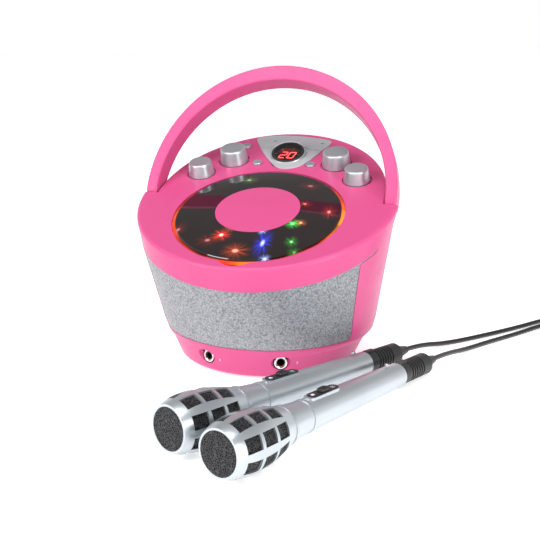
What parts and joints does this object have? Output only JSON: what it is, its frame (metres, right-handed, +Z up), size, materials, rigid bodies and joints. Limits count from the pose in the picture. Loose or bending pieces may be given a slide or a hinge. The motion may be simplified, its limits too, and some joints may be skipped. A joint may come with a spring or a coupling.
{
  "type": "karaoke machine with disc tray",
  "caption": "Tabletop karaoke player: round tub with speaker grille, tilted deck, hinged disc lid over a disc mechanism, swinging handle, control knobs and corded hand microphones.",
  "frame": {"origin": "centre of the four feet's underside, on the surface the machine stands on", "axes": "+Z up, -Y towards the speaker grille and the user, +X to the right as seen from the front"},
  "size_m": [0.4573, 0.5177, 0.2583],
  "materials": {
    "pink_shell": "moulded ABS, polished gloss",
    "silver_plastic": "silver-painted ABS, satin",
    "dark_window": "smoked acrylic, polished",
    "silver_mesh": "woven grille cloth behind fine perforations",
    "black_plastic": "matte moulded ABS",
    "black_rubber": "matte rubber",
    "cord_jacket": "soft PVC, slightly glossy",
    "chrome": "plated",
    "steel": "turned or stamped steel",
    "light_pipe": "clear acrylic light pipe, lit red to orange",
    "lamp_epoxy": "diffused epoxy, coloured lamps",
    "board": "glass-fibre circuit board, solder mask",
    "red_display": "seven-segment module, red digits",
    "cone_paper": "pressed paper with rubber surround",
    "white_plastic": "natural acetal, matte",
    "contact_metal": "nickel-plated spring strip"
  },
  "bodies": {
    "housing": {"tub_shell": "pink_shell", "speaker_grille": "silver_mesh", "top_deck": "pink_shell", "disc_well": "black_plastic", "light_ring": "light_pipe", "led_lamps": "lamp_epoxy", "lid_hinge_pin": "steel", "chassis_dampers": "black_rubber", "mech_chassis": "black_plastic", "guide_rods": "steel", "disc_motors": "steel", "display_panel": "silver_plastic", "display_window": "dark_window", "display_module": "red_display", "control_board": "board", "handle_pivot_pins": "steel", "base_plate": "pink_shell", "case_screws": "steel", "rubber_feet": "black_rubber", "battery_contacts": "contact_metal", "main_board": "board", "power_inlet": "black_plastic", "speaker_baffle": "black_plastic", "speaker_drivers": "steel", "speaker_cones": "cone_paper", "mic_sockets": "black_plastic", "socket_nuts": "chrome"},
    "lid": {"lid_window": "dark_window", "lid_centre_disc": "pink_shell", "lid_hinge_arms": "black_plastic"},
    "handle": {"carry_handle": "pink_shell"},
    "knob_front_left": {"knob_front_left": "silver_plastic"},
    "knob_front_right": {"knob_front_right": "silver_plastic"},
    "knob_rear_left": {"knob_rear_left": "silver_plastic"},
    "knob_rear_right": {"knob_rear_right": "silver_plastic"},
    "button_front_left": {"button_front_left": "silver_plastic"},
    "button_front_right": {"button_front_right": "silver_plastic"},
    "button_rear_left": {"button_rear_left": "silver_plastic"},
    "button_rear_right": {"button_rear_right": "silver_plastic"},
    "track_rocker": {"track_rocker": "silver_plastic"},
    "turntable": {"turntable": "black_plastic"},
    "pickup_sled": {"pickup_sled": "black_plastic"},
    "sled_gear": {"sled_gear": "white_plastic"},
    "battery_door": {"battery_door": "pink_shell"},
    "front_mic": {"front_mic_body": "silver_plastic", "front_mic_head_cage": "silver_plastic", "front_mic_mesh": "black_plastic", "front_mic_connector": "black_plastic", "front_mic_cord": "cord_jacket", "front_mic_cord_coil": "cord_jacket", "front_mic_jack_plug": "black_plastic"},
    "front_mic_switch": {"front_mic_switch": "black_plastic"},
    "rear_mic": {"rear_mic_body": "silver_plastic", "rear_mic_head_cage": "silver_plastic", "rear_mic_mesh": "black_plastic", "rear_mic_connector": "black_plastic", "rear_mic_cord": "cord_jacket", "rear_mic_cord_coil": "cord_jacket", "rear_mic_jack_plug": "black_plastic"},
    "rear_mic_switch": {"rear_mic_switch": "black_plastic"}
  },
  "joints": [
    {"name": "handle_pivot", "type": "hinge", "parent": "housing", "child": "handle", "pos_m": [0, 0.00319, 0.14542], "axis": [-1, 0, 0], "range_deg": [-44, 24]},
    {"name": "lid_hinge", "type": "hinge", "parent": "housing", "child": "lid", "pos_m": [0, 0.05243, 0.1564], "axis": [-1, 0, 0], "range_deg": [0, 50]},
    {"name": "knob_front_left_turn", "type": "hinge", "parent": "housing", "child": "knob_front_left", "pos_m": [-0.0747, 0.029, 0.15897], "axis": [0, -0.3453, 0.9385], "range_deg": [-150, 150]},
    {"name": "knob_rear_left_turn", "type": "hinge", "parent": "housing", "child": "knob_rear_left", "pos_m": [-0.0502, 0.05443, 0.16833], "axis": [0, -0.3453, 0.9385], "range_deg": [-150, 150]},
    {"name": "button_front_left_press", "type": "slide", "parent": "housing", "child": "button_front_left", "axis": [0, 0.3453, -0.9385], "range_m": [0, 0.0008], "stiffness_N_per_m": 400},
    {"name": "button_rear_left_press", "type": "slide", "parent": "housing", "child": "button_rear_left", "axis": [0, 0.3453, -0.9385], "range_m": [0, 0.0008], "stiffness_N_per_m": 400},
    {"name": "knob_front_right_turn", "type": "hinge", "parent": "housing", "child": "knob_front_right", "pos_m": [0.0747, 0.029, 0.15897], "axis": [0, -0.3453, 0.9385], "range_deg": [-150, 150]},
    {"name": "knob_rear_right_turn", "type": "hinge", "parent": "housing", "child": "knob_rear_right", "pos_m": [0.0502, 0.05443, 0.16833], "axis": [0, -0.3453, 0.9385], "range_deg": [-150, 150]},
    {"name": "button_front_right_press", "type": "slide", "parent": "housing", "child": "button_front_right", "axis": [0, 0.3453, -0.9385], "range_m": [0, 0.0008], "stiffness_N_per_m": 400},
    {"name": "button_rear_right_press", "type": "slide", "parent": "housing", "child": "button_rear_right", "axis": [0, 0.3453, -0.9385], "range_m": [0, 0.0008], "stiffness_N_per_m": 400},
    {"name": "track_rocker_tilt", "type": "hinge", "parent": "housing", "child": "track_rocker", "pos_m": [0, 0.08997, 0.18034], "axis": [0, 0.9385, 0.3453], "range_deg": [-1.2, 1.2], "stiffness_Nm_per_rad": 0.5},
    {"name": "turntable_spin", "type": "hinge", "parent": "housing", "child": "turntable", "pos_m": [0, -0.02895, 0.12273], "axis": [0, -0.3453, 0.9385], "continuous": true},
    {"name": "pickup_slide", "type": "slide", "parent": "housing", "child": "pickup_sled", "axis": [0, -0.9385, -0.3453], "range_m": [0, 0.03]},
    {"name": "sled_gear_turn", "type": "hinge", "parent": "housing", "child": "sled_gear", "pos_m": [0.02365, -0.06467, 0.10107], "axis": [0, -0.3453, 0.9385], "range_deg": [0, 290]},
    {"name": "battery_door_slide", "type": "slide", "parent": "housing", "child": "battery_door", "axis": [0, 1, 0], "range_m": [0, 0.005]},
    {"name": "front_mic_switch_slide", "type": "slide", "parent": "front_mic", "child": "front_mic_switch", "axis": [0.395, 0.9172, -0.0528], "range_m": [-0.003, 0.003]},
    {"name": "front_mic_lift", "type": "slide", "parent": "housing", "child": "front_mic", "axis": [0.2149, -0.1124, 0.9702], "range_m": [0, 0.1]},
    {"name": "rear_mic_switch_slide", "type": "slide", "parent": "rear_mic", "child": "rear_mic_switch", "axis": [0.4626, 0.885, -0.0528], "range_m": [-0.003, 0.003]},
    {"name": "rear_mic_lift", "type": "slide", "parent": "housing", "child": "rear_mic", "axis": [0.2149, -0.1124, 0.9702], "range_m": [0, 0.1]}
  ],
  "couplings": [
    {"joint": "sled_gear_turn", "follows": "pickup_slide", "rad_per_m": 166.67}
  ]
}
